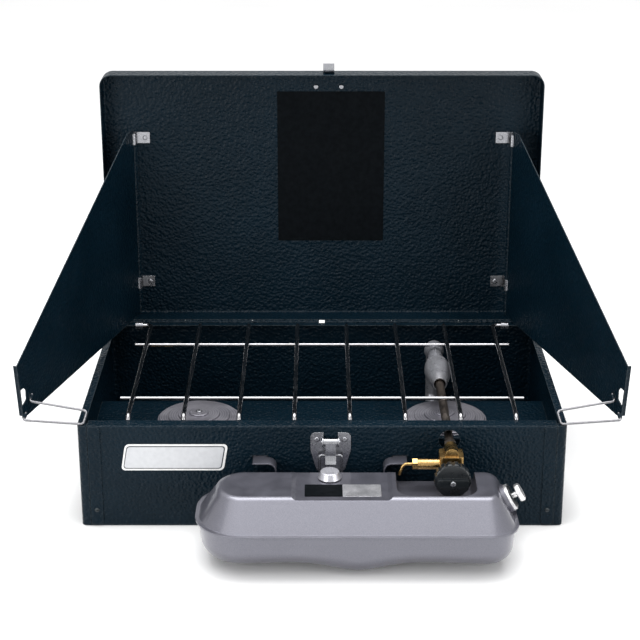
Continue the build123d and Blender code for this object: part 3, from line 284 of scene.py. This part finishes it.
def plate(name, corners, thick, material, body):
    """A thin plate: corners run round its front face, and thick points from its back to its front."""
    count = len(corners)
    back = [Vector(c) for c in corners]
    front = [c + Vector(thick) for c in back]
    faces = [tuple(range(count - 1, -1, -1)), tuple(range(count, 2 * count))]
    for i in range(count):
        j = (i + 1) % count
        faces.append((i, j, count + j, count + i))
    mesh = bpy.data.meshes.new(name)
    mesh.from_pydata(back + front, [], faces)
    mesh.update()
    obj = bpy.data.objects.new(name, mesh)
    bpy.context.scene.collection.objects.link(obj)
    mesh.materials.append(material)
    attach(obj, body)


def rounded(x0, x1, z0, z1, radius, lean=0.0, steps=4):
    """Corner points of a rounded rectangle, counter-clockwise, its top shifted by lean."""
    points = []
    for cx, cz, start in ((x1 - radius, z0 + radius, -90), (x1 - radius, z1 - radius, 0),
                          (x0 + radius, z1 - radius, 90), (x0 + radius, z0 + radius, 180)):
        for i in range(steps + 1):
            angle = math.radians(start + 90 * i / steps)
            z = cz + radius * math.sin(angle)
            points.append((cx + radius * math.cos(angle) + lean * (z - z0) / (z1 - z0), z))
    return points


white_plate = printed("badge_white", (0.70, 0.70, 0.69), (0.80, 0.80, 0.79), 0.35)
dark_print = printed("badge_dark", (0.012, 0.020, 0.026), (0.022, 0.032, 0.040), 0.35)
label_black = printed("label_black", (0.0012, 0.0020, 0.0028), (0.0026, 0.0038, 0.0050), 0.60, 0.04)
badge_silver = printed("badge_silver", (0.50, 0.51, 0.53), (0.54, 0.55, 0.57), 0.35)
label_silver = brushed("label_silver", (0.42, 0.42, 0.45), (0.58, 0.58, 0.60), 0.34, 0.8, 1500)

# The case's front face, the lid's inner face and the floor of the tank's recess
FRONT_FACE_Y = -0.135
LID_FACE_Y = 0.1603
RECESS_FLOOR_Z = 0.068

BADGE_THICK = 0.0006
LAYER_THICK = 0.0002
LABEL_THICK = 0.0003
LABEL_CORNER = 0.001
TANK_LABEL_FRONT = -0.209
TANK_LABEL_BACK = -0.185


def upright(y, outline):
    """An outline in x and z, standing at y."""
    return [(x, y, z) for x, z in outline]


def level_at(z, outline):
    """An outline in x and y, lying at z."""
    return [(x, y, z) for x, y in outline]


# The badge: a white plate, a thin dark line and a pale field, one on the other
line_y = FRONT_FACE_Y - BADGE_THICK
field_y = line_y - LAYER_THICK
badge = upright(FRONT_FACE_Y, rounded(-0.190, -0.0930, 0.0585, 0.0855, 0.004, 0.0045))
line = upright(line_y, rounded(-0.1880, -0.0950, 0.0603, 0.0837, 0.003, 0.0040))
field = upright(field_y, rounded(-0.1871, -0.0959, 0.0612, 0.0828, 0.0025, 0.0038))
plate("badge_plate", badge, (0, -BADGE_THICK, 0), white_plate, "case")
plate("badge_line", line, (0, -LAYER_THICK, 0), dark_print, "case")
plate("badge_field", field, (0, -LAYER_THICK, 0), badge_silver, "case")

label = upright(LID_FACE_Y, rounded(-0.047, 0.066, 0.190, 0.354, LABEL_CORNER))
plate("lid_label", label, (0, -LABEL_THICK, 0), label_black, "lid")

# The tank's label has a dark half and a pale half
for name, left, right, face in (("tank_label_dark", -0.016, 0.0183, label_black),
                                ("tank_label_pale", 0.0186, 0.0536, label_silver)):
    half = level_at(RECESS_FLOOR_Z, rounded(left, right, TANK_LABEL_FRONT, TANK_LABEL_BACK, LABEL_CORNER))
    plate(name, half, (0, 0, LABEL_THICK), face, "tank")

# Floor, light and camera

FLOOR_HALF = 9.0
FLOOR_Z = -0.0004
LAMP_AIM = (0.0, 0.0, 0.12)
FILL_LEVEL = 0.55
BACKDROP_LEVEL = 1.0

floor_corners = [(x * FLOOR_HALF, y * FLOOR_HALF, FLOOR_Z) for x, y in ((-1, -1), (1, -1), (1, 1), (-1, 1))]
floor_mesh = bpy.data.meshes.new("floor")
floor_mesh.from_pydata(floor_corners, [], [(0, 1, 2, 3)])
floor = bpy.data.objects.new("floor", floor_mesh)
bpy.context.scene.collection.objects.link(floor)
paper = Tree("paper")
paper_tone = paper.ramp(paper.noise(3, 2.0), (0.86, 0.86, 0.86), (0.88, 0.88, 0.88))
paper_rough = paper.span(paper.noise(40, 2.0), 0.7, 0.8)
paper.finish(paper_tone, paper_rough, 0.0, round_edge=0.0, specular=0.2)
floor_mesh.materials.append(paper.material)


def area(name, place, aim, size, power):
    """A soft rectangular lamp at place that points to aim."""
    lamp = bpy.data.lights.new(name, "AREA")
    lamp.shape = "RECTANGLE"
    lamp.size = size[0]
    lamp.size_y = size[1]
    lamp.energy = power
    obj = bpy.data.objects.new(name, lamp)
    obj.location = place
    obj.rotation_euler = (Vector(aim) - Vector(place)).to_track_quat("-Z", "Y").to_euler()
    bpy.context.scene.collection.objects.link(obj)


area("overhead", (0.0, 0.05, 1.9), (0.0, 0.0, 0.0), (1.8, 1.2), 34.0)
area("front_left", (-1.3, -1.7, 0.55), LAMP_AIM, (1.0, 1.0), 17.0)
area("front_right", (1.6, -1.3, 0.50), LAMP_AIM, (0.8, 0.9), 11.0)

sun = bpy.data.lights.new("sky", "SUN")
sun.energy = 1.5
sun.angle = math.radians(70)
sky = bpy.data.objects.new("sky", sun)
sky.rotation_euler = (math.radians(8), math.radians(-6), 0)
bpy.context.scene.collection.objects.link(sky)

world = bpy.data.worlds.new("studio")
world.use_nodes = True
background = world.node_tree.nodes["Background"]
background.inputs["Color"].default_value = (1.0, 1.0, 1.0, 1.0)

# The backdrop is white where it is seen directly, mirrored or through glass, and softer as a light
rays = world.node_tree.nodes.new("ShaderNodeLightPath")
seen = rays.outputs["Is Camera Ray"]
for kind in ("Is Glossy Ray", "Is Transmission Ray"):
    either = world.node_tree.nodes.new("ShaderNodeMath")
    either.operation = "MAXIMUM"
    world.node_tree.links.new(seen, either.inputs[0])
    world.node_tree.links.new(rays.outputs[kind], either.inputs[1])
    seen = either.outputs["Value"]
level = world.node_tree.nodes.new("ShaderNodeMapRange")
level.inputs["To Min"].default_value = FILL_LEVEL
level.inputs["To Max"].default_value = BACKDROP_LEVEL
world.node_tree.links.new(seen, level.inputs["Value"])
world.node_tree.links.new(level.outputs["Result"], background.inputs["Strength"])
bpy.context.scene.world = world
bpy.context.scene.view_settings.view_transform = "Standard"

camera = bpy.data.cameras.new("camera")
camera.sensor_width = 36.0
camera.lens = 94.51
eye = bpy.data.objects.new("camera", camera)
eye.location = (-0.00204, -1.56904, 0.75796)
eye.rotation_euler = (math.radians(69.103), 0, 0)
bpy.context.scene.collection.objects.link(eye)
bpy.context.scene.camera = eye
